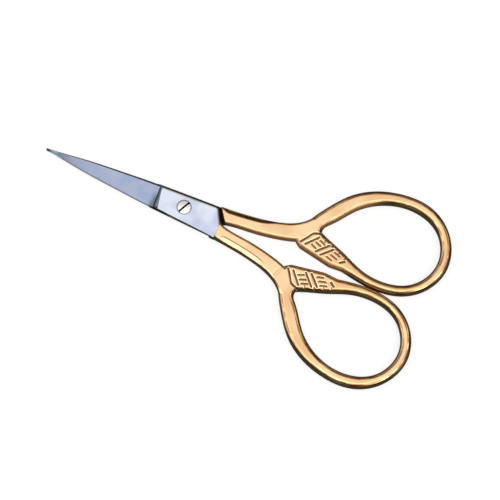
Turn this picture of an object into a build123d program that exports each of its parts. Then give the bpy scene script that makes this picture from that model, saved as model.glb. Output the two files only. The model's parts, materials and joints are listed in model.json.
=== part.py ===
from build123d import *
import os
from math import cos, radians, sin, tan

# Embroidery scissors, closed, lying on their underside.
# +X runs from the pivot towards the finger bows, +Z is up, and the origin is where the
# pivot axis meets the underside. Both halves are one forging: the front half is the back
# half turned over about the long axis, so it lies on top with its bow on the -Y side.

# Overall sizes, in millimetres
blade_reach = 32.8       # pivot axis to the points of the blades
bow_reach = 57.6         # pivot axis to the far end of the bows
bow_span = 22.15         # centre line to the outer side of each bow
pivot_half_width = 3.0   # half the width of the joint at the pivot

# Thicknesses and running clearances
blade_thickness = 1.47   # one half at the pivot
running_gap = 0.06       # between the two flats that slide on each other
bow_gap = 0.12           # between the bows when the blades are shut
full_thickness = 2 * blade_thickness + running_gap
overrun = 2.0            # how far a cut runs past what it cuts

# Blade: the spine is on the -Y side of the back half, and the cutting edge on the +Y side
tip_width = 0.45
tip_height = 0.36
spine_setback = 0.05     # the ground spine lies inside the joint's side
edge_setback = 0.2       # the cutting edge stops short of the other blade's spine
spine_height = 0.98      # blade thickness at the spine, by the joint
edge_height = 0.22       # land of the cutting edge
blade_root_share = 0.13  # where the blade's form starts inside the joint plate
blade_taper_shares = ((0.244, 0.87), (0.488, 0.67), (0.731, 0.43), (0.915, 0.175))
spine_height_shares = (0.97, 0.88, 0.74, 0.52)
spine_bevel_shares = (0.17, 0.5)  # bevel along the spine, as shares of half width and thickness

# Slope of the grind that ends the blade in front of the joint
grind_reach = 5.7        # pivot axis to the top of the slope, on the centre line
grind_slant = 12         # degrees that the slope is turned in plan
heel_reach = 5.5         # pivot axis to where the joint's side starts to run in to the edge
heel_run = 1.1

# Hollow of the blade's inner face
hollow_radius = 20.0
hollow_depth = 0.1
hollow_end_share = 0.84  # where the hollow has run out, as a share of the blade

# Lap joint: the plate ends in front of the other half's shoulder
plate_corner_reach = 6.95  # pivot axis to the plate's outer corner
plate_corner_inset = 3.3   # centre line to that corner
crotch_reach = 9.0         # pivot axis to the crotch between the plate and the shank
crotch_lead = 0.45         # how far the plate's end stops short of the crotch, both ways
shoulder_reach = 7.65      # pivot axis to the shoulder at the joint's side
shoulder_turn = 54         # degrees of the shoulder from the long axis, in plan
plate_corner_radius = 1.0  # rounding of that corner in plan
plate_edge_radius = 0.8    # rounding of the outer face at the plate's spine side and end
broken_edge_radius = 0.12  # rounding of the blade's spine and of the outer face's other side

# Shank between the joint and the leaf: its inner side as shares from the crotch to the notch,
# and its outer side as shares from the pivot to where it runs into the bow
notch_reach = 24.5       # pivot axis to the notch where the shank meets the leaf
shank_root = 2.6         # how far the shank's end lies inside the leaf
shank_inner_shares = ((0.083, 0.16), (0.4, 0.36), (0.715, 0.61))
shank_outer_shares = ((0.3, 0.082), (0.6, 0.222), (0.77, 0.376), (0.9, 0.603))
shank_edge_radius = 0.6

# Bow and leaf, as shares of the length from the notch to bow_reach and of bow_span
notch_shares = (0, 0.133)
flare_shares = (0.063, 0.424)
bow_side_shares = (
    (0.008, 0.18), (0.043, 0.375), (0.123, 0.578), (0.234, 0.781), (0.36, 0.907), (0.528, 0.985),
    (0.727, 0.984), (0.891, 0.853), (1.0, 0.492), (0.922, 0.194), (0.807, 0.063),
)
bow_touch_share = 0.619
bow_waist_shares = ((0.467, 0.02), (0.372, 0.045))
leaf_tip_shares = (0.281, 0.036)
leaf_heel_shares = (0.055, 0.095)
leaf_root_shares = (0.015, 0.135)
leaf_corner_radius = 1.3

# Finger hole, as shares of the room that the bow's bar leaves
bow_root_width = 4.93    # notch to the narrow end of the hole
bow_bar_width = 2.3
hole_shares = (
    (0.007, 0.267), (0.043, 0.244), (0.233, 0.145), (0.432, 0.031), (0.644, 0), (0.858, 0.105),
    (0.993, 0.465), (0.889, 0.837), (0.659, 0.974), (0.408, 0.917), (0.197, 0.706), (0.039, 0.408),
    (0.005, 0.342), (0, 0.302),
)
bow_edge_radius = 1.0
bow_edge_limit_share = 0.44  # the rounding is at most this share of the bar's width

# Grooves struck into both faces of the leaf: ribs run across it, with short bars between them
groove_depth = 0.25
groove_width = 0.34
rib_groove_turn = 46     # degrees of the grooves across the leaf from +X
bar_groove_turn = -22    # degrees of the grooves between the bars from +X
rib_groove_shares = (    # place along and across the bow, and length as a share of its span
    (0.078, 0.2, 0.17), (0.107, 0.207, 0.16), (0.203, 0.18, 0.135), (0.234, 0.155, 0.12),
    (0.351, 0.13, 0.05),
)
bar_groove_shares = (
    (0.172, 0.217, 0.07), (0.149, 0.177, 0.065), (0.126, 0.14, 0.06),
    (0.307, 0.177, 0.1), (0.288, 0.14, 0.11), (0.252, 0.106, 0.06),
)

# Pivot screw
screw_head_radius = 1.52
screw_head_rim = 0.08    # straight rim above the cone of the head
screw_head_rise = 0.16   # how far the head's crown stands above its rim
screw_shank_radius = 0.9
screw_thread_radius = 0.75
screw_slot_width = 0.43
screw_slot_depth = 0.45
screw_slot_turn = 64     # degrees from +X
screw_clearance = 0.03   # radial, between the screw and the front half
thread_clearance = 0.01
screw_end_chamfer = 0.12


def between(low, high, shares):
    """The point at these shares of the way, along and across, from one point to another."""
    return tuple(a + (b - a) * share for a, b, share in zip(low, high, shares))


def bow_at(shares):
    """A point of the bow from its shares of the length behind the notch and of the span."""
    return between((notch_reach, 0), (bow_reach, bow_span), shares)


# Stations of the blade, from the root inside the plate to the tip:
# place along the blade, half width of the closed pair, thickness at the spine
root_station = (-blade_reach * blade_root_share, pivot_half_width * blade_taper_shares[0][1], spine_height)
stations = [root_station]
for (along, width), height in zip(blade_taper_shares, spine_height_shares):
    stations.append((-blade_reach * along, pivot_half_width * width, spine_height * height))

# Plan of the joint plate and the shank
taper_along, taper_width = blade_taper_shares[0]
joint_front = (-blade_reach * taper_along, pivot_half_width * taper_width)
plate_corner = (plate_corner_reach, -plate_corner_inset)
plate_end = (crotch_reach - crotch_lead, -crotch_lead)
heel = (-heel_reach - heel_run, joint_front[1] - edge_setback)
crotch = (crotch_reach, 0)
joint_side = (0, pivot_half_width)
notch = bow_at(notch_shares)
flare = bow_at(flare_shares)

with BuildSketch() as shank_plan:
    with BuildLine():
        Spline((joint_front[0], -joint_front[1]), (0, -pivot_half_width), plate_corner)
        Line(plate_corner, plate_end)
        inner_side = [between(crotch, notch, shares) for shares in shank_inner_shares]
        Spline(plate_end, crotch, *inner_side, notch)
        Polyline(
            notch,
            (notch[0] + shank_root, notch[1] + shank_root / 2),
            (notch[0] + shank_root, flare[1] - shank_root / 2),
            flare,
        )
        outer_side = [between(joint_side, flare, shares) for shares in shank_outer_shares]
        Spline(flare, *reversed(outer_side), joint_side, (-heel_reach, joint_front[1]))
        Polyline(
            (-heel_reach, joint_front[1]),
            heel,
            (joint_front[0], heel[1] - edge_setback),
            (joint_front[0], -joint_front[1]),
        )
    make_face()

# Plan of what is cut away above the plate, up to the shoulder
shoulder_lean = 1 / tan(radians(shoulder_turn))
cut_half_width = pivot_half_width + overrun
with BuildSketch(Plane.XY.offset(blade_thickness)) as lap_plan:
    with BuildLine():
        Polyline(
            (joint_front[0] - overrun, cut_half_width),
            (shoulder_reach - overrun * shoulder_lean, cut_half_width),
            (shoulder_reach + (pivot_half_width + cut_half_width) * shoulder_lean, -cut_half_width),
            (joint_front[0] - overrun, -cut_half_width),
            close=True,
        )
    make_face()

# Plan of the bow and the leaf, with the finger hole
with BuildSketch() as bow_plan:
    with BuildLine():
        side = [bow_at(shares) for shares in bow_side_shares]
        touch = bow_at((bow_touch_share, bow_gap / 2 / bow_span))
        waist = [bow_at(shares) for shares in bow_waist_shares]
        around = Spline(side + [touch] + waist)
        Polyline(
            around @ 1,
            bow_at(leaf_tip_shares),
            bow_at(leaf_heel_shares),
            bow_at(leaf_root_shares),
            around @ 0,
        )
    make_face()
    fillet(bow_plan.vertices(), leaf_corner_radius)
    with BuildLine():
        hole_low = (notch_reach + bow_root_width, bow_gap / 2 + bow_bar_width)
        hole_high = (bow_reach - bow_bar_width, bow_span - bow_bar_width)
        Spline([between(hole_low, hole_high, shares) for shares in hole_shares], periodic=True)
    make_face(mode=Mode.SUBTRACT)

# Plan of the grooves on the leaf
with BuildSketch() as groove_plan:
    for turn, table in ((rib_groove_turn, rib_groove_shares), (bar_groove_turn, bar_groove_shares)):
        for along, across, length in table:
            with Locations(Location(bow_at((along, across)), turn)):
                SlotOverall(bow_span * length, groove_width)

with BuildPart() as bow:
    extrude(bow_plan.sketch, amount=full_thickness)
    levels = bow.edges().group_by(Axis.Z)
    fillet(levels[0] + levels[-1], min(bow_edge_radius, bow_bar_width * bow_edge_limit_share))
    extrude(groove_plan.sketch, amount=groove_depth, mode=Mode.SUBTRACT)
    extrude(
        Plane.XY.offset(full_thickness) * groove_plan.sketch,
        amount=-groove_depth,
        mode=Mode.SUBTRACT,
    )

# Joint plate and shank before their edges are rounded
with BuildPart() as shank:
    extrude(shank_plan.sketch, amount=full_thickness)
    extrude(lap_plan.sketch, amount=full_thickness, mode=Mode.SUBTRACT)
    slant = radians(grind_slant)
    slope = Plane(
        origin=(-grind_reach, 0, 0),
        x_dir=(sin(slant), cos(slant), 0),
        z_dir=(cos(slant), -sin(slant), 1),
    )
    split(bisect_by=slope, keep=Keep.TOP)

# Blade: five-sided sections from the root to the tip, hollow on the inner face
with BuildPart() as blade:
    for x, half_width, height in stations + [(-blade_reach, tip_width / 2 + spine_setback, tip_height)]:
        with BuildSketch(Plane(origin=(x, 0, blade_thickness), x_dir=(0, 1, 0), z_dir=(-1, 0, 0))):
            with BuildLine():
                edge_side = max(half_width - edge_setback, 0)
                spine_side = spine_setback - half_width
                bevel_width, bevel_height = (
                    share * size for share, size in zip(spine_bevel_shares, (half_width, height))
                )
                Polyline(
                    (spine_side, 0),
                    (edge_side, 0),
                    (edge_side, edge_height),
                    (spine_side + bevel_width, height),
                    (spine_side, height - bevel_height),
                    close=True,
                )
            make_face()
    loft()


# One half as forged and ground, before it is machined
hollow_run = blade_reach * hollow_end_share + heel[0]
with BuildPart() as half:
    add(shank.part)
    add(blade.part)
    hollow_start = (heel[0], -edge_setback / 2, blade_thickness + hollow_radius - hollow_depth)
    with BuildSketch(Plane(origin=hollow_start, z_dir=(-hollow_run, 0, hollow_depth))):
        Circle(hollow_radius)
    extrude(amount=hollow_run + overrun, mode=Mode.SUBTRACT)

# The back half's plating starts at its shoulder, and the front half's at the plate's end
shoulder_plane = Plane(origin=(shoulder_reach, pivot_half_width, 0), z_dir=(1, shoulder_lean, 0))
plate_end_plane = Plane(origin=(plate_end[0], 0, 0), z_dir=(1, 0, 0))


def steel_end(plating_plane):
    """The blade and its joint plate, up to the plating, with the outer face's edges rounded."""
    with BuildPart() as steel:
        add(half.part)
        split(bisect_by=plating_plane, keep=Keep.BOTTOM)
        corner = steel.edges().filter_by(Axis.Z).sort_by_distance((*plate_corner, 0))[0]
        fillet(corner, plate_corner_radius)
        outer_edges = steel.faces().sort_by(Axis.Z)[0].edges()
        joint_edges = outer_edges.filter_by(lambda edge: edge.center().X > -heel_reach / 2)
        fillet(
            joint_edges.filter_by(lambda edge: edge.center().Y < crotch_lead),
            plate_edge_radius,
        )
        heel_side = steel.faces().sort_by(Axis.Z)[0].edges().sort_by(Axis.Y)[-1]
        ground_face = steel.faces().filter_by(GeomType.BSPLINE).sort_by(SortBy.AREA)[-1]
        spine_side = ground_face.edges().sort_by(Axis.Y)[0]
        fillet([heel_side, spine_side], broken_edge_radius)
    return steel.part


def gilt_end(plating_plane):
    """The shank from the plating on, with rounded edges, and the bow that it runs into."""
    with BuildPart() as gilt:
        add(half.part)
        split(bisect_by=plating_plane, keep=Keep.TOP)
        levels = gilt.edges().group_by(Axis.Z)
        fillet((levels[0] + levels[-1]).filter_by(GeomType.BSPLINE), shank_edge_radius)
        add(bow.part)
    return gilt.part


def turned_over(part):
    """A back piece as its twin in the front half, turned about the long axis at mid height."""
    return part.rotate(Axis((0, 0, full_thickness / 2), (1, 0, 0)), 180)


with BuildPart() as back_blade:
    add(steel_end(shoulder_plane))
    with Locations((0, 0, blade_thickness)):
        Hole(screw_thread_radius + thread_clearance)

with BuildPart() as back_handle:
    add(gilt_end(shoulder_plane))

with BuildPart() as front_blade:
    add(turned_over(steel_end(plate_end_plane)))
    with Locations((0, 0, full_thickness)):
        CounterSinkHole(
            radius=screw_shank_radius + screw_clearance,
            counter_sink_radius=screw_head_radius + screw_head_rim + screw_clearance,
            counter_sink_angle=90,
        )

with BuildPart() as front_handle:
    add(turned_over(gilt_end(plate_end_plane)))

# Pivot screw: threaded end in the back half, plain shank in the front half, slotted head
cone_foot = full_thickness - screw_head_rim - (screw_head_radius - screw_shank_radius)
with BuildPart() as pivot_screw:
    with BuildSketch(Plane.XZ):
        with BuildLine():
            Polyline(
                (0, full_thickness + screw_head_rise),
                (0, 0),
                (screw_thread_radius - screw_end_chamfer, 0),
                (screw_thread_radius, screw_end_chamfer),
                (screw_thread_radius, blade_thickness),
                (screw_shank_radius, blade_thickness),
                (screw_shank_radius, cone_foot),
                (screw_head_radius, full_thickness - screw_head_rim),
                (screw_head_radius, full_thickness),
            )
            ThreePointArc(
                (screw_head_radius, full_thickness),
                (screw_head_radius / 2, full_thickness + screw_head_rise * 3 / 4),
                (0, full_thickness + screw_head_rise),
            )
        make_face()
    revolve(axis=Axis.Z)
    with BuildSketch(Plane.XY.offset(full_thickness + screw_head_rise - screw_slot_depth)):
        Rectangle(2 * screw_head_radius + overrun, screw_slot_width, rotation=screw_slot_turn)
    extrude(amount=screw_slot_depth + overrun, mode=Mode.SUBTRACT)

pieces = {
    "back_blade": back_blade,
    "back_handle": back_handle,
    "front_blade": front_blade,
    "front_handle": front_handle,
    "pivot_screw": pivot_screw,
}
os.makedirs("parts", exist_ok=True)
for name, piece in pieces.items():
    piece.part.label = name
    export_step(piece.part, f"parts/{name}.step")
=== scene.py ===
# %% [markdown]
# # Small embroidery scissors with gold-plated bows
#
# The object is a pair of steel scissors 90 mm long, lying shut on a pale table. Two forged halves
# turn on one slotted screw. Blades and joint are polished steel, and the shanks and the
# teardrop bows are plated. The packed CAD model already has the real shapes and sizes, so this
# script only dresses it: it loads that model as a fixed frame, sets the camera and the light,
# strikes the fine relief into copies of the two handles, and gives each piece its finish.

# %% Load the packed model
import json
from math import cos, exp, radians, sin, tan

import bmesh
import bpy
from mathutils import Matrix, Vector


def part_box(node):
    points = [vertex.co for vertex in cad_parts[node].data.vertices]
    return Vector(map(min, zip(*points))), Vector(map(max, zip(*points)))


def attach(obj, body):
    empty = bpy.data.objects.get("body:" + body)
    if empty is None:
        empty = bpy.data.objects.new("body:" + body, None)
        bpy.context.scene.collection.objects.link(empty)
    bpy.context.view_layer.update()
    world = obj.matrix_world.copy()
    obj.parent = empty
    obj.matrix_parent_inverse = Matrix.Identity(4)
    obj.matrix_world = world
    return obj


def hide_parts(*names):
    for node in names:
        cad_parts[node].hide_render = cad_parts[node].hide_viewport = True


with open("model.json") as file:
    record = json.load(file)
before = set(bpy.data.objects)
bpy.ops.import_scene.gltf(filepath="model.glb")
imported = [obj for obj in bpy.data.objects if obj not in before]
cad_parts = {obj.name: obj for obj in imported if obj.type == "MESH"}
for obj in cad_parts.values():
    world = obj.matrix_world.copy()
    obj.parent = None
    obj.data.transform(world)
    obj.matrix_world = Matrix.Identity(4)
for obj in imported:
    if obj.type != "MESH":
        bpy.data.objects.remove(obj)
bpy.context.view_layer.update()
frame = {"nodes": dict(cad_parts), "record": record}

nodes = frame["nodes"]
mm = 0.001
for name in sorted(nodes):
    low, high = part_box(name)
    print(name, "size in mm:", [round(side / mm, 2) for side in high - low])

# %% [markdown]
# ## The camera
#
# The photograph looks almost straight down. A long lens from about a metre away gives its nearly
# parallel view. Three things fix the camera: how far it leans from the vertical, how far the
# scissors are turned in the picture, and the point of the scissors that is in the picture's middle.
# It could be turned with angles, but three directions in a matrix say what each one means.

# %% Set the camera
camera_lean = radians(11.67)
picture_turn = radians(23.79)
picture_side = 500                       # pixels
pixels_per_mm = 4.615
picture_middle = Vector((16.78, -2.64, 1.5)) * mm
camera_distance = 0.9
clip_ratio = 100                         # it sees this many times nearer and further than that

upwards = Vector((0, 0, 1))
to_right = Vector((cos(picture_turn), sin(picture_turn), 0))
across_table = upwards.cross(to_right)
to_camera = upwards * cos(camera_lean) - across_table * sin(camera_lean)
to_top = to_camera.cross(to_right)

camera_data = bpy.data.cameras.new("photo_camera")
view_side = picture_side / pixels_per_mm * mm
camera_data.lens = camera_data.sensor_width * camera_distance / view_side
camera_data.clip_start = camera_distance / clip_ratio
camera_data.clip_end = camera_distance * clip_ratio
camera = bpy.data.objects.new("photo_camera", camera_data)
turned = Matrix((to_right, to_top, to_camera)).transposed().to_4x4()
camera.matrix_world = Matrix.Translation(picture_middle + to_camera * camera_distance) @ turned
bpy.context.scene.collection.objects.link(camera)
bpy.context.scene.camera = camera
print("lens in mm:", round(camera_data.lens, 1))

# %% [markdown]
# ## A short way to write shaders
#
# A finish is a tree of nodes, and most of the nodes are sums. So one small class stands for a
# socket and lets Python's operators add the Math nodes, and one method adds any other node: first
# its settings are set, then its sockets get a number, a colour or a link. Most masks are a
# smooth step between two numbers, so that has a short form too, and such a pair of numbers is
# named for what it marks: the mask is empty at the first number and full at the second.


# %% Write shader maths as expressions
class Value:
    """A node's output that can be used in a sum."""

    def __init__(self, recipe, node, output=0):
        self.recipe = recipe
        self.node = node
        self.socket = node.outputs[output]

    def output(self, name):
        return Value(self.recipe, self.node, name)

    def __add__(self, other):
        return self.recipe.sum_of("ADD", self, other)

    def __sub__(self, other):
        return self.recipe.sum_of("SUBTRACT", self, other)

    def __rsub__(self, other):
        return self.recipe.sum_of("SUBTRACT", other, self)

    def __mul__(self, other):
        return self.recipe.sum_of("MULTIPLY", self, other)

    def __abs__(self):
        return self.recipe.sum_of("ABSOLUTE", self)

    __radd__ = __add__
    __rmul__ = __mul__

    def or_more(self, other):
        """The larger of the two, which joins one mask to another."""
        return self.recipe.sum_of("MAXIMUM", self, other)

    def between(self, low, high):
        """0 at low and 1 at high, with a smooth step from one to the other."""
        settings = {"interpolation_type": "SMOOTHSTEP"}
        return self.recipe.node("MapRange", settings, {0: self, 1: low, 2: high})


class Recipe:
    """A node tree as it is written, for a finish or for the light."""

    def __init__(self, tree):
        self.tree = tree
        tree.nodes.clear()

    def node(self, kind, settings=None, sockets=None, output=0):
        made = self.tree.nodes.new("ShaderNode" + kind)
        for name, setting in (settings or {}).items():
            if name == "stops":
                self.set_stops(made.color_ramp, setting)
            else:
                setattr(made, name, setting)
        for name, value in (sockets or {}).items():
            if isinstance(value, Value):
                self.tree.links.new(value.socket, made.inputs[name])
            else:
                made.inputs[name].default_value = value
        return Value(self, made, output) if made.outputs else None

    def set_stops(self, ramp, stops):
        while len(ramp.elements) < len(stops):
            ramp.elements.new(1)
        for element, (place, colour) in zip(ramp.elements, stops):
            element.position = place
            element.color = (*colour, 1)

    def sum_of(self, operation, *terms):
        return self.node("Math", {"operation": operation}, dict(enumerate(terms)))

    def mix(self, share, first, second, blend="MIX"):
        """The first colour where the share is 0, and the second where it is 1."""
        settings = {"data_type": "RGBA", "blend_type": blend}
        colours = [value if isinstance(value, Value) else (*value, 1) for value in (first, second)]
        sockets = {"Factor": share, 6: colours[0], 7: colours[1]}
        return self.node("Mix", settings, sockets, output=2)


print("short forms:", [name for name in vars(Recipe) if not name.startswith("_")])

# %% [markdown]
# ## The studio
#
# Polished metal shows what is around it, so the light is drawn as the room that the metal sees.
# Lamps would only give it small glints. Flat faces see the panel overhead. A face that leans
# towards the front of the picture sees the brightest strip of the panel and then a dark wall,
# and one that leans to the back sees the panel turn brown and then dark. The room is black near
# the horizon, which draws the outlines of the bows, except for one grey card on the left. The
# steep sides see the dim floor. The camera itself sees plain white in the distance.

# %% List the lights and walls of the room
panel_stops = [                            # the panel's colour, from the front of the room to its back
    (0.02, (0.4, 0.39, 0.36)),
    (0.04, (0.04, 0.04, 0.03)),
    (0.1, (0.1, 0.1, 0.08)),
    (0.2, (0.11, 0.1, 0.08)),
    (0.235, (0.35, 0.3, 0.22)),
    (0.275, (1.5, 1.4, 1.2)),
    (0.4, (2.1, 2.0, 1.85)),
    (0.5, (1.9, 1.85, 1.7)),
    (0.57, (1.0, 1.0, 1.0)),
    (0.66, (0.95, 0.93, 0.9)),
    (0.72, (0.62, 0.52, 0.4)),
    (0.8, (0.62, 0.52, 0.4)),
    (0.86, (0.4, 0.3, 0.2)),
    (0.9, (0.04, 0.04, 0.03)),
    (0.96, (0.04, 0.04, 0.03)),
    (0.975, (0.45, 0.43, 0.4)),
]
side_stops = [                             # what multiplies it, from the room's left to its right
    (0.02, (0.4, 0.4, 0.4)),
    (0.04, (0.15, 0.15, 0.15)),
    (0.08, (0.55, 0.55, 0.55)),
    (0.35, (0.75, 0.75, 0.75)),
    (0.45, (1.0, 1.0, 1.0)),
    (0.57, (1.0, 1.0, 1.0)),
    (0.61, (0.6, 0.58, 0.55)),
    (0.65, (0.6, 0.58, 0.55)),
    (0.69, (1.7, 1.7, 1.7)),
    (0.79, (1.7, 1.7, 1.7)),
    (0.85, (0.12, 0.12, 0.12)),
    (0.95, (0.05, 0.05, 0.05)),
    (0.97, (0.3, 0.3, 0.3)),
]
horizon_dark = (0.012, 0.012, 0.01)
side_card = (0.3, 0.32, 0.31)
floor_far = (0.22, 0.21, 0.19)
floor_near = (0.08, 0.085, 0.07)
panel_edge = (84, 78)                      # degrees from straight overhead, here and below
floor_edge = (94, 102)
floor_fade = (104, 130)
card_edge = (-0.8, -0.95)                  # from the room's middle, at 0, to its left wall, at -1
print("stops across the room:", len(panel_stops), "and", len(side_stops))

# %% Light the studio
bpy.context.scene.view_settings.view_transform = "Standard"
world = bpy.data.worlds.new("studio")
bpy.context.scene.world = world
world.use_nodes = True
room = Recipe(world.node_tree)
direction = room.node("TexCoord", output="Generated")
heading = room.node("SeparateXYZ", sockets={0: direction})


def stops_along(axis, stops):
    """The colour of a ramp that runs from one wall of the room to the other."""
    return room.node("ValToRGB", {"stops": stops}, {0: heading.output(axis) * 0.5 + 0.5})


def above(angles):
    """0 at the first angle from straight overhead and 1 at the second."""
    return heading.output("Z").between(*[cos(radians(angle)) for angle in angles])


panel = room.mix(1.0, stops_along("Y", panel_stops), stops_along("X", side_stops), "MULTIPLY")
horizon = room.mix(heading.output("X").between(*card_edge), horizon_dark, side_card)
floor = room.mix(above(floor_fade), floor_far, floor_near)
surroundings = room.mix(above(panel_edge), horizon, panel)
surroundings = room.mix(above(floor_edge), surroundings, floor)
lit_room = room.node("Background", sockets={"Color": surroundings, "Strength": 1.0})
seen_room = room.node("Background", sockets={"Color": (1, 1, 1, 1), "Strength": 1.0})
by_camera = room.node("LightPath", output="Is Camera Ray")
mixed = room.node("MixShader", sockets={0: by_camera, 1: lit_room, 2: seen_room})
room.node("OutputWorld", sockets={"Surface": mixed})
print("studio nodes:", len(world.node_tree.nodes))

# %% [markdown]
# ## The table
#
# A pale, matt table top, flat under the scissors. Most of its white is its own glow, like a lit
# sheet, so that the shadows on it stay faint. A brighter room would do that too, but the metal
# would show it. For the same reason the table is hidden from reflections, and the metal sees
# the room's dim floor instead.

# %% Lay the table
table_side = 3.0
table_colour = (0.4, 0.4, 0.4, 1)
table_glow = (0.9, 0.9, 0.92, 1)
glow_strength = 0.83
table_roughness = 0.9

shape = bmesh.new()
bmesh.ops.create_grid(shape, x_segments=1, y_segments=1, size=table_side / 2)
table_mesh = bpy.data.meshes.new("table")
shape.to_mesh(table_mesh)
shape.free()
table = bpy.data.objects.new("table", table_mesh)
bpy.context.scene.collection.objects.link(table)

table_finish = bpy.data.materials.new("table_white")
table_finish.use_nodes = True
matt = Recipe(table_finish.node_tree)
surface = matt.node(
    "BsdfPrincipled",
    sockets={
        "Base Color": table_colour,
        "Roughness": table_roughness,
        "Emission Color": table_glow,
        "Emission Strength": glow_strength,
    },
)
matt.node("OutputMaterial", sockets={"Surface": surface})
table_mesh.materials.append(table_finish)
table.visible_glossy = False
print("table side in m:", table_side)

# %% [markdown]
# ## Handles that can be struck
#
# On the real scissors the leaf between shank and bow is struck in a die: pairs of cross ribs
# stand on it, with rows of short bars between them. A bump texture would only shade them, and
# the CAD model has them as plain grooves. So each handle is copied, the plain grooves are lifted
# out of the copy, and it gets even, fine faces, whose points can then be pressed down along
# soft lines.

# %% Copy a handle with even, fine faces
full_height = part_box("back_handle")[1].z   # its underside is at height 0
cad_groove_depth = 0.25 * mm
leaf_start = 23 * mm
leaf_end = 37.5 * mm
leaf_side = 7.3 * mm
voxel = 0.15 * mm
same_height = mm / 500                     # what lies nearer than these counts as the same
same_point = mm / 1000


def in_leaf(point):
    """Whether a point is in the part of the handle that is struck."""
    return leaf_start < point.x < leaf_end and abs(point.y) < leaf_side


def below_face(point):
    """How deep a point is below the nearer one of the two flat faces."""
    return min(point.z, full_height - point.z)


def is_groove_floor(point):
    return in_leaf(point) and abs(below_face(point) - cad_groove_depth) < same_height


def fine_copy(node_name, piece_name):
    shape = bmesh.new()
    shape.from_mesh(nodes[node_name].data)
    bmesh.ops.remove_doubles(shape, verts=shape.verts, dist=same_point)
    floors = [point for point in shape.verts if is_groove_floor(point.co)]
    bmesh.ops.delete(shape, geom=floors, context="VERTS")
    rims = [edge for edge in shape.edges if edge.is_boundary]
    bmesh.ops.holes_fill(shape, edges=rims, sides=0)
    bmesh.ops.triangulate(shape, faces=shape.faces)
    plain = bpy.data.meshes.new(piece_name)
    shape.to_mesh(plain)
    shape.free()
    piece = bpy.data.objects.new(piece_name, plain)
    bpy.context.scene.collection.objects.link(piece)
    even = piece.modifiers.new("even_faces", "REMESH")
    even.mode = "VOXEL"
    even.voxel_size = voxel
    evaluated = piece.evaluated_get(bpy.context.evaluated_depsgraph_get())
    piece.data = bpy.data.meshes.new_from_object(evaluated)
    piece.modifiers.clear()
    print(piece_name, "faces:", len(piece.data.polygons))
    return piece


gilt_handles = {half: fine_copy(half + "_handle", half + "_gilt_handle") for half in ("front", "back")}

# %% [markdown]
# ## The struck pattern
#
# The pattern is a list of lines in plan, in millimetres from the pivot and from the middle line,
# and it is the same on both halves and both faces. Long lines leave the ribs standing, short
# ones the bars, and the scallops nick the leaf's edge. The front half also has a shallow crease
# where its shank meets the leaf. Each line has a width and a depth, and presses a point down on
# a bell curve of its distance, so what stands between the lines comes out rounded. How much
# painted shade the line gets is kept on the points too, for the finish.

# %% List the lines of the pattern
rib_lines = [
    ((26.1, 3.2), (27.9, 5.9)), ((27.3, 3.2), (29.5, 5.7)), ((30.0, 2.6), (32.3, 5.0)),
    ((31.2, 2.3), (33.4, 4.5)), ((35.8, 2.4), (36.7, 3.0)), ((28.0, 6.0), (29.6, 6.7)),
]
bar_lines = [
    ((30.0, 5.2), (31.3, 4.7)), ((29.3, 4.5), (30.6, 4.0)), ((28.6, 3.7), (29.8, 3.2)),
    ((33.9, 4.0), (35.3, 3.6)), ((33.3, 3.2), (34.8, 2.8)), ((32.6, 2.5), (33.9, 2.1)),
]
scallops = [
    ((30.9, 5.1), (31.2, 6.2)), ((32.9, 4.9), (33.2, 5.6)), ((34.8, 4.2), (35.1, 4.9)),
    ((36.4, 3.4), (36.7, 4.3)),
]
crease_lines = [((23.7, 5.8), (24.9, 3.0))]


def struck_lines(lines, half_width, depth, line_shade):
    """Each line's two ends, its width and depth, and how much painted shade it gets, from 0 to 1."""
    ends = [(Vector(start) * mm, Vector(end) * mm) for start, end in lines]
    return [(start, end, half_width * mm, depth * mm, line_shade) for start, end in ends]


pattern = (
    struck_lines(rib_lines, half_width=0.17, depth=0.28, line_shade=1.0)
    + struck_lines(bar_lines, half_width=0.14, depth=0.24, line_shade=0.85)
    + struck_lines(scallops, half_width=0.15, depth=0.2, line_shade=0.5)
)
crease = struck_lines(crease_lines, half_width=0.6, depth=0.04, line_shade=0.5)
lines_of = {"front": pattern + crease, "back": pattern}
print("lines on each half:", {half: len(lines) for half, lines in lines_of.items()})


# %% Measure how far the lines press a point
def off_line(point, start, end):
    """The distance in plan from a point to a line between two points."""
    along = end - start
    share = min(max((point - start).dot(along) / along.length_squared, 0), 1)
    return (point - start - along * share).length


def bell(distance, half_width):
    return exp(-((distance / half_width) ** 2))


def struck_at(point, lines):
    """How deep the lines are at a point of the leaf, and how much painted shade they give there."""
    place = Vector((point.x, abs(point.y)))
    depth = 0
    line_shade = 0
    for start, end, half_width, line_depth, each_line_shade in lines:
        share = bell(off_line(place, start, end), half_width)
        depth = max(depth, line_depth * share)
        line_shade = max(line_shade, each_line_shade * share)
    return depth, line_shade


middle_of_first = (pattern[0][0] + pattern[0][1]) / 2
print("depth in mm at a rib line:", round(struck_at(middle_of_first, pattern)[0] / mm, 3))

# %% [markdown]
# ## The bevel of the shank
#
# A narrow bevel runs along the outer side of each shank. It opens behind the joint, keeps its
# width, and fades where the leaf begins. Cut with a bevel operator it would need one clean
# edge to follow, which a copy made of even faces doesn't have. So the outer side is
# measured first, as the point furthest from the middle line at each step along the handle, and
# the points nearer to it than the bevel's width are let down to the bevel's slope.

# %% Measure the outer side and the bevel
bevels = {
    "front": {"width": 1.25 * mm, "fall": radians(9), "start": 7.8 * mm, "fade": 19.5 * mm},
    "back": {"width": 0.95 * mm, "fall": radians(24), "start": 6.3 * mm, "fade": 16 * mm},
}
bevel_opening = 3.2 * mm                   # the length over which it widens
bevel_end = 24 * mm
ridge_half_width = 0.2 * mm                # the ridge where bevel and flat face meet
outline_step = 0.2 * mm
steps_each_way = 3                         # the outer side is an average of so many steps


def smooth(value, low, high):
    """0 up to low and 1 from high on, with a smooth step between them."""
    share = min(max((value - low) / (high - low), 0), 1)
    return share * share * (3 - 2 * share)


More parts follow.
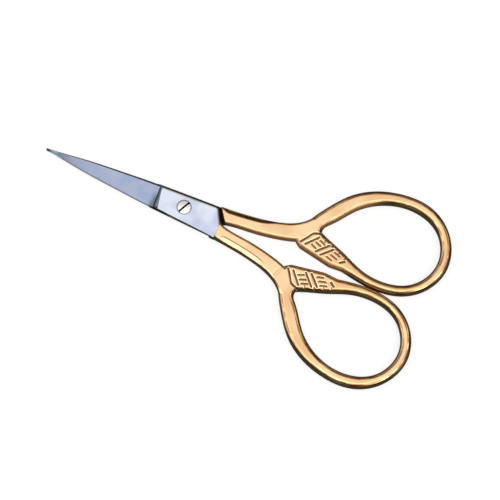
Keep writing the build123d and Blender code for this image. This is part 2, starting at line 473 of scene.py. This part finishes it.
def outer_side(shape):
    """How far a handle's outer side is from the middle line, at each step along it."""
    furthest = {}
    for point in shape.verts:
        step = round(point.co.x / outline_step)
        furthest[step] = max(furthest.get(step, 0), abs(point.co.y))
    outline = {}
    for step, side in furthest.items():
        shifts = range(-steps_each_way, steps_each_way + 1)
        near = [furthest.get(step + shift, side) for shift in shifts]
        outline[step] = sum(near) / len(near)
    return outline


def inside_outline(point, outline):
    """How far a point is from the outer side, in plan."""
    side = abs(point.y)
    step, between_steps = divmod(point.x / outline_step, 1)
    here, after = [outline.get(key, side) for key in (step, step + 1)]
    return here + (after - here) * between_steps - side


def bevelled_at(point, outline, width, fall, start, fade):
    """How deep the bevel is below a point, and how much painted shade its ridge gives there."""
    opened = smooth(point.x, start, start + bevel_opening)
    width_here = width * opened * (1 - smooth(point.x, fade, bevel_end))
    if width_here == 0:
        return 0, 0
    distance = inside_outline(point, outline)
    depth = (width_here - distance) * tan(fall) - below_face(point)
    return depth, bell(distance - width_here, ridge_half_width) * width_here / width


print("bevel widths in mm:", {half: round(bevel["width"] / mm, 2) for half, bevel in bevels.items()})

# %% [markdown]
# ## Striking the handles
#
# Every point of a flat face goes down by the line or the bevel that is deeper there. The sides
# between the two faces stay as they are, and a smooth step between the two keeps the edges
# whole. The leaf's faces are halved first, because its lines are only about two faces wide.

# %% Strike both handles
side_to_face = (0.25, 0.75)                # how level a point is, from 0 on a side to 1 on a face


def strike(piece, lines, bevel):
    shape = bmesh.new()
    shape.from_mesh(piece.data)
    leaf_faces = [face for face in shape.faces if in_leaf(face.calc_center_median())]
    leaf_edges = dict.fromkeys(edge for face in leaf_faces for edge in face.edges)
    bmesh.ops.subdivide_edges(shape, edges=list(leaf_edges), cuts=1, use_grid_fill=True)
    shape.normal_update()
    outline = outer_side(shape)
    struck = shape.verts.layers.float.new("struck")
    for point in shape.verts:
        flat = smooth(abs(point.normal.z), *side_to_face)
        if point.co.x > leaf_end or flat == 0:
            continue
        depth, line_shade = struck_at(point.co, lines) if in_leaf(point.co) else (0, 0)
        bevel_depth, ridge_shade = bevelled_at(point.co, outline, **bevel)
        drop = max(depth, bevel_depth) * flat
        point.co.z += -drop if point.co.z > full_height / 2 else drop
        # the painted shade of the lines and of the bevel's ridge, kept on the point for the finish
        point[struck] = max(line_shade, ridge_shade) * flat
    shape.to_mesh(piece.data)
    shape.free()
    for face in piece.data.polygons:
        face.use_smooth = True


for half, handle in gilt_handles.items():
    strike(handle, lines_of[half], bevels[half])
    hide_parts(half + "_handle")
    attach(handle, half + "_half")
    triangles = sum(len(face.vertices) - 2 for face in handle.data.polygons)
    print(handle.name, "triangles:", triangles)

# %% [markdown]
# ## Polished metal
#
# All the metals start alike. The faces are polished bright, with faint clouds in the polish and
# fine lines from the wheel. So one function writes that much, and then each finish adds what is
# its own: colours that change from place to place, and painted light and shade.
# The masks for that read the place on the piece, in millimetres from the pivot and from the
# underside, or the way the surface faces. A painted image could hold the same, but it would
# have to be drawn for each piece, and the masks fit all of them at any size of picture. The
# numbers that are added up for the roughness go from 0, a mirror, to 1, quite matt.

# %% Start a polished finish
cloud_scale = 0.45 / mm
line_scales = (9 / mm, 0.35 / mm, 1 / mm)  # close together across the lines, drawn out along them
bump_strength = 0.06
bump_depth = 0.02 * mm
soft_clouds = (0.3, 0.7)
finishes = {}


def noise(metal, place, scale, detail):
    return metal.node("TexNoise", sockets={"Vector": place, "Scale": scale, "Detail": detail})


def polished(name, line_turn):
    """A new finish, with the place on the piece, in mm, the clouds and the wheel lines."""
    finishes[name] = bpy.data.materials.new(name)
    finishes[name].use_nodes = True
    metal = Recipe(finishes[name].node_tree)
    place = metal.node("TexCoord", output="Object")
    turn = {"Vector": place, "Rotation": (0, 0, line_turn), "Scale": line_scales}
    clouds = noise(metal, place, cloud_scale, detail=3.0)
    wheel_lines = noise(metal, metal.node("Mapping", sockets=turn), scale=1.0, detail=2.0)
    apart = metal.node("SeparateXYZ", sockets={0: place})
    axes = [apart.output(axis) * (1 / mm) for axis in "XYZ"]
    return metal, axes, clouds, wheel_lines


def large_patches(metal, per_mm, detail):
    """Patches larger than the clouds, for a colour that drifts along the piece."""
    return noise(metal, metal.node("TexCoord", output="Object"), per_mm / mm, detail)


def facing(metal):
    """How level the surface is, from 0 to 1, and how far it leans to +Y."""
    lean = metal.node("SeparateXYZ", sockets={0: metal.node("TexCoord", output="Normal")})
    return abs(lean.output("Z")), lean.output("Y")


def off_axis(metal, along, across):
    """The distance from the pivot's axis, in mm."""
    return metal.sum_of("SQRT", along * along + across * across)


def finish_with(metal, colour, roughness, wheel_lines):
    height = {"Height": wheel_lines, "Strength": bump_strength, "Distance": bump_depth}
    bump = metal.node("Bump", sockets=height)
    sockets = {"Base Color": colour, "Metallic": 1.0, "Roughness": roughness, "Normal": bump}
    metal.node("OutputMaterial", sockets={"Surface": metal.node("BsdfPrincipled", sockets=sockets)})
    print("nodes in the finish:", len(metal.tree.nodes))


# %% [markdown]
# ## Steel
#
# The joint plate is brighter and paler than the blades, which are ground finer and look blue,
# most of all near the points. The very points are dark and matt. The blades' sides are painted a
# plain grey as painted shade, and so are the rounded edge at the heel and the bevel of a spine
# that leans to +Y, and each blade's root gets a painted shadow beside the slanted grind. In the
# lap of the joint, at its heel and round the screw, the steel is painted black as painted shade.
# Plate and blade are one forging, so they could only have two materials with a hard line between
# them. One finish with a mask for each place lets every colour fade into the next.

# %% Colour the plate and the blades
plate_pale = (0.76, 0.82, 0.95)
plate_grey = (0.57, 0.62, 0.83)
blade_dark = (0.19, 0.24, 0.37)
blade_light = (0.23, 0.265, 0.38)
point_blue = (0.4, 0.6, 0.74)
tip_black = (0.1, 0.11, 0.1)
blade_starts = (-5.7, -6.4)                # mm along, as the next two
blue_starts = (-28.5, -31)
tip_starts = (-31.4, -32.4)
soft_patches = (0.35, 0.65)

metal, (along, across, up), clouds, wheel_lines = polished("polished_steel", line_turn=0)
patches = large_patches(metal, per_mm=0.22, detail=1.5)
plate = metal.mix(patches.between(*soft_patches), plate_pale, plate_grey)
blade = metal.mix(clouds.between(*soft_clouds), blade_dark, blade_light)
blade = metal.mix(along.between(*blue_starts), blade, point_blue)
blade = metal.mix(along.between(*tip_starts), blade, tip_black)
colour = metal.mix(along.between(*blade_starts), plate, blade)
print("nodes so far:", len(metal.tree.nodes))

# %% Paint shade on the sides and a shadow at each root
side_shade_grey = (0.17, 0.18, 0.19)
root_shadow_dark = (0.06, 0.08, 0.09)
heel_starts = (-7.5, -6.5)                 # mm along or across, as the next five
heel_ends = (-1.5, -3)
heel_side = (-2, -2.4)
root_starts = (-8.0, -6.8)
root_ends = (-6.0, -6.3)
root_side = (1.5, -1)
grey_starts = (-30.5, -27.5)               # nearer to the points the sides are as blue as the faces
root_clouds = (0.25, 0.5)
shade_slope = (0.75, 0.35)                  # how level, as the next two
rounded_edge = (0.97, 0.9)
off_level = (0.985, 0.9)
leaning_back = (0.06, 0.18)

level, to_back = facing(metal)
heel = along.between(*heel_starts) * along.between(*heel_ends) * across.between(*heel_side)
root_shadow_mask = along.between(*root_starts) * along.between(*root_ends) * across.between(*root_side)
spine = level.between(*off_level) * to_back.between(*leaning_back)
heel_edge = heel * level.between(*rounded_edge)
shaded_side = level.between(*shade_slope).or_more(heel_edge).or_more(spine)
# painted shade: the steep sides, the heel's rounded edge and a spine leaning to +Y are greyed
colour = metal.mix(shaded_side * along.between(*grey_starts), colour, side_shade_grey)
# painted shadow: each blade's root is darkened beside the slanted grind
colour = metal.mix(root_shadow_mask * 0.8 * clouds.between(*root_clouds), colour, root_shadow_dark)
print("nodes so far:", len(metal.tree.nodes))

# %% Paint shade into the lap and round the screw
recess_shade_black = (0.012, 0.012, 0.015)
countersink_side = (1.75, 1.68)            # mm from the axis
countersink_top = (2.99, 2.93)             # mm up, and so is the lap's height
lap_opens = (6.3, 6.7)                     # mm along
lap_height = 1.47
near_lap = (0.12, 0.08)                    # mm above or below it
matt_starts = (-29.5, -30.8)

in_countersink = off_axis(metal, along, across).between(*countersink_side)
under_head = in_countersink * up.between(*countersink_top)
open_lap = along.between(*lap_opens).or_more(heel)
in_lap = open_lap * abs(up - lap_height).between(*near_lap)
shaded_recess = under_head.or_more(in_lap)
# painted shade: the lap, its heel and the countersink under the screw head are painted black
colour = metal.mix(shaded_recess, colour, recess_shade_black)
matt_point = along.between(*matt_starts)
roughness = 0.15 + wheel_lines * 0.06 + shaded_recess * 0.4 + matt_point * 0.35
finish_with(metal, colour, roughness, wheel_lines)

# %% [markdown]
# ## The screw
#
# The screw is a separate piece of brighter steel, turned in a lathe and not ground flat with the
# plate, so its wheel lines lie another way and it is duller. The domed head is painted grey
# towards its rim as painted shade, and its slot is painted black as painted shade. Dome and slot
# are in the packed model already, and at this size the painted colour does for the slot's shade.

# %% Write the screw's finish
screw_bright = (0.95, 0.96, 1.0)
screw_cloud = (0.86, 0.87, 0.93)
rim_shade_grey = (0.22, 0.24, 0.28)
slot_shade_black = (0.01, 0.01, 0.012)
rim_starts = (1.3, 1.46)                   # mm from the axis
slot_starts = (2.96, 2.86)                 # mm up

metal, (along, across, up), clouds, wheel_lines = polished("screw_steel", line_turn=radians(64))
head = metal.mix(clouds.between(*soft_clouds), screw_bright, screw_cloud)
painted_rim_shading = off_axis(metal, along, across).between(*rim_starts)
# painted shade: the dome greys towards its rim
head = metal.mix(painted_rim_shading * 0.7, head, rim_shade_grey)
in_slot = up.between(*slot_starts)
# painted shade: the slot is painted black
colour = metal.mix(in_slot, head, slot_shade_black)
finish_with(metal, colour, 0.35 + wheel_lines * 0.08 + in_slot * 0.3, wheel_lines)

# %% [markdown]
# ## Gold plate
#
# The gold is peach-coloured and thin, with wide soft patches along the bows that are redder.
# The steep sides are painted brown as painted shade, and the narrow rounding beside the flat
# faces gets a brown band of painted reflection. The side of the back shank that faces the middle
# is warmer. The struck lines, the crease and the bevel's ridge are painted brown as painted shade,
# and the metal just beside the lines gets a pale painted highlight. Where the lines run isn't
# worked out again here: the finish reads the number that the striking kept on each point, so the
# colours can't slip off the shapes.

# %% Colour the plating
gold_red = (0.9, 0.56, 0.29)
gold_pale = (1.0, 0.72, 0.42)
gold_peach = (1.0, 0.66, 0.4)
band_reflection_brown = (0.34, 0.16, 0.07)
side_shade_brown = (0.4, 0.27, 0.13)
inner_warm = (1.0, 0.6, 0.32)
red_patches = (0.4, 0.62)
peach_clouds = (0.45, 0.75)
shoulder_clouds = (0.36, 0.56)
shoulder_by_face = (0.995, 0.97)           # how level, as the next two
shoulder_by_side = (0.88, 0.93)
shade_slope = (0.9, 0.6)
inner_ends = (40, 36)                      # mm along
on_back_half = (0, 1)                      # mm across
leaning_front = (-0.05, -0.3)

metal, (along, across, _), clouds, wheel_lines = polished("gold_plate", line_turn=radians(20))
patches = large_patches(metal, per_mm=0.12, detail=1.0)
colour = metal.mix(patches.between(*red_patches), gold_red, gold_pale)
colour = metal.mix(clouds.between(*peach_clouds) * 0.4, colour, gold_peach)
level, to_back = facing(metal)
brown_band_reflection = level.between(*shoulder_by_face) * level.between(*shoulder_by_side)
brown_band_reflection = brown_band_reflection * clouds.between(*shoulder_clouds)
# painted reflection: a brown band in the narrow rounding beside the flat faces
colour = metal.mix(brown_band_reflection * 0.9, colour, band_reflection_brown)
# painted shade: the steep sides are painted brown
colour = metal.mix(level.between(*shade_slope), colour, side_shade_brown)
inner_side = along.between(*inner_ends) * across.between(*on_back_half)
inner_side = inner_side * to_back.between(*leaning_front)
colour = metal.mix(inner_side, colour, inner_warm)
print("nodes so far:", len(metal.tree.nodes))

# %% Paint shade into the struck lines and a highlight beside them
rim_highlight_pale = (1.0, 0.9, 0.68)
groove_shade_brown = (0.29, 0.13, 0.06)
past_crease = (25.6, 26)                   # the crease has no pale rims
near_line = (0.002, 0.02)                  # how dark it is marked, as the next two
not_in_line = (0.4, 0.2)
in_line = (0.35, 0.9)
near_level = (0.7, 0.92)                   # to keep off the leaf's sides

struck = metal.node("Attribute", {"attribute_name": "struck"}, output="Fac")
highlight_beside_line = struck.between(*near_line) * struck.between(*not_in_line)
painted_rim_shading = highlight_beside_line * along.between(*past_crease) * level.between(*near_level)
# painted highlight: the metal just beside the struck lines is paler
colour = metal.mix(painted_rim_shading, colour, rim_highlight_pale)
# painted shade: the struck lines, the crease and the bevel's ridge are painted brown
colour = metal.mix(struck.between(*in_line), colour, groove_shade_brown)
roughness = 0.07 + wheel_lines * 0.05 + struck * 0.2 + inner_side * 0.4
finish_with(metal, colour, roughness, wheel_lines)

# %% [markdown]
# ## Dressing the pieces
#
# The packed record says which material slot each piece has, and the finishes are named for the
# slots. So a loop over the record gives every piece its finish, and no list of pieces has to be
# kept here. The two struck copies get the gold by hand, because the record doesn't know them.


# %% Give every piece its finish
def dress(piece, finish):
    piece.data.materials.clear()
    piece.data.materials.append(finish)
    print(piece.name, "is", finish.name)


for subpart in frame["record"]["subparts"]:
    dress(nodes[subpart["node"]], finishes[subpart["material_slot"]])
for handle in gilt_handles.values():
    dress(handle, finishes["gold_plate"])

# %% [markdown]
# ## The sizes and the end
#
# Looks must not change the size of the object.
